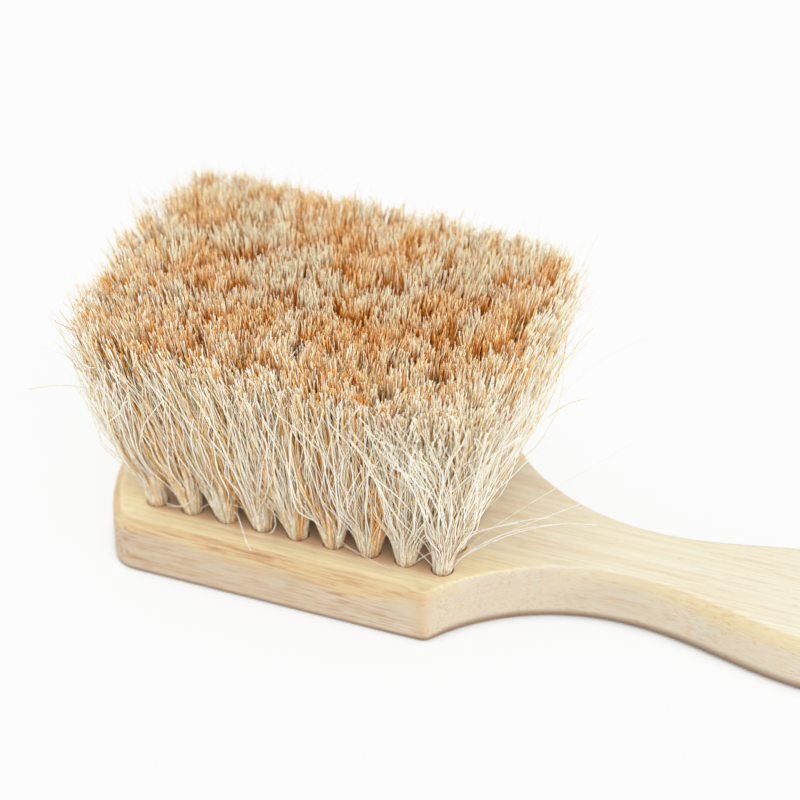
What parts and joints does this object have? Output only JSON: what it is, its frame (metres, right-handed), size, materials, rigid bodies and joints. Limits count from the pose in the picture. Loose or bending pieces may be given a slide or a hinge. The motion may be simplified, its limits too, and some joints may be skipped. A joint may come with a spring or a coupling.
{
  "type": "neck duster brush",
  "caption": "Wooden hand brush with a flat handle and a dense square block of natural hair tufts, for brushing cut hair off the neck.",
  "frame": {"origin": "on the flat back face of the wooden block, under the centre of the tuft field", "axes": "+X from the head to the end of the handle, +Z the way the hair stands"},
  "size_m": [0.2286, 0.0714, 0.064],
  "materials": {
    "wood": "fine-grained pale wood, sanded smooth, with a thin satin lacquer",
    "hair": "natural animal hair, white to orange-brown, trimmed flat"
  },
  "bodies": {
    "root": {"wood_body": "wood", "tuft_r1_c1": "hair", "tuft_r1_c2": "hair", "tuft_r1_c3": "hair", "tuft_r1_c4": "hair", "tuft_r1_c5": "hair", "tuft_r1_c6": "hair", "tuft_r1_c7": "hair", "tuft_r1_c8": "hair", "tuft_r1_c9": "hair", "tuft_r2_c1": "hair", "tuft_r2_c2": "hair", "tuft_r2_c3": "hair", "tuft_r2_c4": "hair", "tuft_r2_c5": "hair", "tuft_r2_c6": "hair", "tuft_r2_c7": "hair", "tuft_r2_c8": "hair", "tuft_r2_c9": "hair", "tuft_r3_c1": "hair", "tuft_r3_c2": "hair", "tuft_r3_c3": "hair", "tuft_r3_c4": "hair", "tuft_r3_c5": "hair", "tuft_r3_c6": "hair", "tuft_r3_c7": "hair", "tuft_r3_c8": "hair", "tuft_r3_c9": "hair", "tuft_r4_c1": "hair", "tuft_r4_c2": "hair", "tuft_r4_c3": "hair", "tuft_r4_c4": "hair", "tuft_r4_c5": "hair", "tuft_r4_c6": "hair", "tuft_r4_c7": "hair", "tuft_r4_c8": "hair", "tuft_r4_c9": "hair", "tuft_r5_c1": "hair", "tuft_r5_c2": "hair", "tuft_r5_c3": "hair", "tuft_r5_c4": "hair", "tuft_r5_c5": "hair", "tuft_r5_c6": "hair", "tuft_r5_c7": "hair", "tuft_r5_c8": "hair", "tuft_r5_c9": "hair", "tuft_r6_c1": "hair", "tuft_r6_c2": "hair", "tuft_r6_c3": "hair", "tuft_r6_c4": "hair", "tuft_r6_c5": "hair", "tuft_r6_c6": "hair", "tuft_r6_c7": "hair", "tuft_r6_c8": "hair", "tuft_r6_c9": "hair"}
  },
  "joints": []
}
